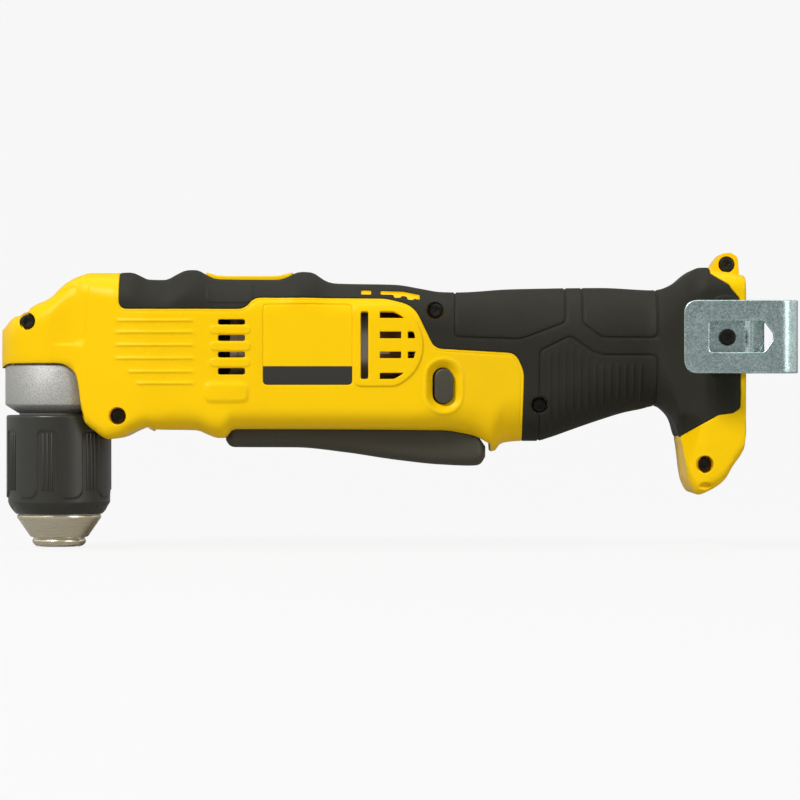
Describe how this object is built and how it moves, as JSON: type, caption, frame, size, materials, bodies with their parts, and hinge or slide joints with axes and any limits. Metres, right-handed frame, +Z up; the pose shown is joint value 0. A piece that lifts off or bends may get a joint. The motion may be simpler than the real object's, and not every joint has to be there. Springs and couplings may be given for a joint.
{
  "type": "right angle drill",
  "caption": "Cordless right angle drill, bare tool: keyless chuck at right angles to a long in-line body with a paddle trigger, rubber grip, battery foot and belt hook.",
  "frame": {"origin": "on the chuck's axis, at the mouth of the bit socket", "axes": "+X along the body from the chuck to the battery foot, +Z up along the chuck's axis away from the bit, +Y to the tool's right side"},
  "size_m": [0.3426, 0.086, 0.1277],
  "materials": {
    "yellow_shell": "fine textured nylon",
    "grip_rubber": "soft satin overmould",
    "label": "plain label, no print",
    "black_plastic": "fine textured",
    "dark_screw": "black oxide",
    "cast_case": "fine blasted casting",
    "gear_steel": "machined",
    "bearing_steel": "ground",
    "zinc_steel": "zinc plated",
    "chuck_steel": "satin nickel",
    "magnet": "sintered",
    "carbon": "carbon",
    "brass": "drawn",
    "copper": "enamelled wire and bars",
    "lens": "clear lens",
    "red_lead": "insulated wire",
    "black_lead": "insulated wire"
  },
  "bodies": {
    "body": {"housing_left": "yellow_shell", "housing_right": "yellow_shell", "grip_left": "grip_rubber", "grip_right": "grip_rubber", "label_left": "label", "label_right": "label", "housing_screws": "dark_screw", "gear_case": "cast_case", "gear_case_cover": "cast_case", "case_screws": "dark_screw", "first_ring_gear": "gear_steel", "motor_can": "zinc_steel", "motor_magnets": "magnet", "brush_card": "black_plastic", "brush_holders": "brass", "carbon_brushes": "carbon", "motor_bearings": "bearing_steel", "pinion_bearing": "bearing_steel", "spindle_bearings": "bearing_steel", "trigger_pin": "bearing_steel", "trigger_spring": "bearing_steel", "switch_body": "black_plastic", "led_lens": "lens", "terminal_block": "black_plastic", "terminal_blades": "brass", "battery_leads": "red_lead", "motor_leads": "black_lead", "belt_hook": "zinc_steel", "hook_screw": "dark_screw", "hook_inserts": "brass"},
    "spindle": {"spindle": "gear_steel", "bevel_gear": "gear_steel", "chuck_body": "chuck_steel", "chuck_screw": "dark_screw"},
    "chuck_sleeve": {"chuck_sleeve": "black_plastic", "chuck_nut": "chuck_steel"},
    "jaw_1": {"chuck_jaw_1": "chuck_steel"},
    "jaw_2": {"chuck_jaw_2": "chuck_steel"},
    "jaw_3": {"chuck_jaw_3": "chuck_steel"},
    "second_carrier": {"second_carrier": "gear_steel", "bevel_pinion": "gear_steel"},
    "second_planet_1": {"second_planet_1": "gear_steel"},
    "second_planet_2": {"second_planet_2": "gear_steel"},
    "second_planet_3": {"second_planet_3": "gear_steel"},
    "first_carrier": {"first_carrier": "gear_steel"},
    "first_planet_1": {"first_planet_1": "gear_steel"},
    "first_planet_2": {"first_planet_2": "gear_steel"},
    "first_planet_3": {"first_planet_3": "gear_steel"},
    "rotor": {"motor_shaft": "gear_steel", "motor_pinion": "gear_steel", "motor_fan": "black_plastic", "armature_core": "gear_steel", "armature_windings": "copper", "commutator": "copper"},
    "trigger": {"paddle_trigger": "black_plastic"},
    "plunger": {"switch_plunger": "black_plastic"},
    "direction": {"direction_button": "black_plastic"},
    "selector": {"speed_selector": "black_plastic", "shift_bracket": "zinc_steel", "sliding_ring_gear": "gear_steel"}
  },
  "joints": [
    {"name": "spindle_spin", "type": "hinge", "parent": "body", "child": "spindle", "pos_m": [0, 0, 0], "axis": [0, 0, 1], "continuous": true},
    {"name": "chuck_twist", "type": "hinge", "parent": "spindle", "child": "chuck_sleeve", "pos_m": [0, 0, 0.03], "axis": [0, 0, 1], "range_deg": [0, 2160]},
    {"name": "jaw_1_slide", "type": "slide", "parent": "spindle", "child": "jaw_1", "axis": [0, -0.2756, -0.9613], "range_m": [0, 0.01705]},
    {"name": "jaw_2_slide", "type": "slide", "parent": "spindle", "child": "jaw_2", "axis": [0.2387, 0.1378, -0.9613], "range_m": [0, 0.01705]},
    {"name": "jaw_3_slide", "type": "slide", "parent": "spindle", "child": "jaw_3", "axis": [-0.2387, 0.1378, -0.9613], "range_m": [0, 0.01705]},
    {"name": "second_carrier_spin", "type": "hinge", "parent": "body", "child": "second_carrier", "pos_m": [0.04, 0, 0.087], "axis": [1, 0, 0], "continuous": true},
    {"name": "second_planet_1_spin", "type": "hinge", "parent": "second_carrier", "child": "second_planet_1", "pos_m": [0.044, 0, 0.07462], "axis": [1, 0, 0], "continuous": true},
    {"name": "second_planet_2_spin", "type": "hinge", "parent": "second_carrier", "child": "second_planet_2", "pos_m": [0.044, 0.01072, 0.09319], "axis": [1, 0, 0], "continuous": true},
    {"name": "second_planet_3_spin", "type": "hinge", "parent": "second_carrier", "child": "second_planet_3", "pos_m": [0.044, -0.01072, 0.09319], "axis": [1, 0, 0], "continuous": true},
    {"name": "first_carrier_spin", "type": "hinge", "parent": "body", "child": "first_carrier", "pos_m": [0.05, 0, 0.087], "axis": [1, 0, 0], "continuous": true},
    {"name": "first_planet_1_spin", "type": "hinge", "parent": "first_carrier", "child": "first_planet_1", "pos_m": [0.0563, 0, 0.0765], "axis": [1, 0, 0], "continuous": true},
    {"name": "first_planet_2_spin", "type": "hinge", "parent": "first_carrier", "child": "first_planet_2", "pos_m": [0.0563, 0.00909, 0.09225], "axis": [1, 0, 0], "continuous": true},
    {"name": "first_planet_3_spin", "type": "hinge", "parent": "first_carrier", "child": "first_planet_3", "pos_m": [0.0563, -0.00909, 0.09225], "axis": [1, 0, 0], "continuous": true},
    {"name": "rotor_spin", "type": "hinge", "parent": "body", "child": "rotor", "pos_m": [0.1, 0, 0.087], "axis": [1, 0, 0], "continuous": true},
    {"name": "trigger_swing", "type": "hinge", "parent": "body", "child": "trigger", "pos_m": [0.0818, 0, 0.0553], "axis": [0, -1, 0], "range_deg": [0, 3.2], "stiffness_Nm_per_rad": 3, "springref_deg": -5.73, "deforming": ["trigger_spring"]},
    {"name": "plunger_slide", "type": "slide", "parent": "body", "child": "plunger", "axis": [0, 0, 1], "range_m": [0, 0.00566]},
    {"name": "direction_slide", "type": "slide", "parent": "body", "child": "direction", "axis": [0, 1, 0], "range_m": [-0.003, 0.003]},
    {"name": "selector_slide", "type": "slide", "parent": "body", "child": "selector", "axis": [1, 0, 0], "range_m": [0, 0.005]}
  ],
  "couplings": [
    {"joint": "jaw_1_slide", "follows": "chuck_twist", "m_per_rad": 0.0004523},
    {"joint": "jaw_2_slide", "follows": "chuck_twist", "m_per_rad": 0.0004523},
    {"joint": "jaw_3_slide", "follows": "chuck_twist", "m_per_rad": 0.0004523},
    {"joint": "second_carrier_spin", "follows": "spindle_spin", "ratio": 2.0909},
    {"joint": "second_planet_1_spin", "follows": "spindle_spin", "ratio": -7.8409},
    {"joint": "second_planet_2_spin", "follows": "spindle_spin", "ratio": -7.8409},
    {"joint": "second_planet_3_spin", "follows": "spindle_spin", "ratio": -7.8409},
    {"joint": "first_carrier_spin", "follows": "spindle_spin", "ratio": 6.5714},
    {"joint": "first_planet_1_spin", "follows": "spindle_spin", "ratio": -17.524},
    {"joint": "first_planet_2_spin", "follows": "spindle_spin", "ratio": -17.524},
    {"joint": "first_planet_3_spin", "follows": "spindle_spin", "ratio": -17.524},
    {"joint": "rotor_spin", "follows": "spindle_spin", "ratio": 32.857},
    {"joint": "plunger_slide", "follows": "trigger_swing", "m_per_rad": 0.10116}
  ]
}
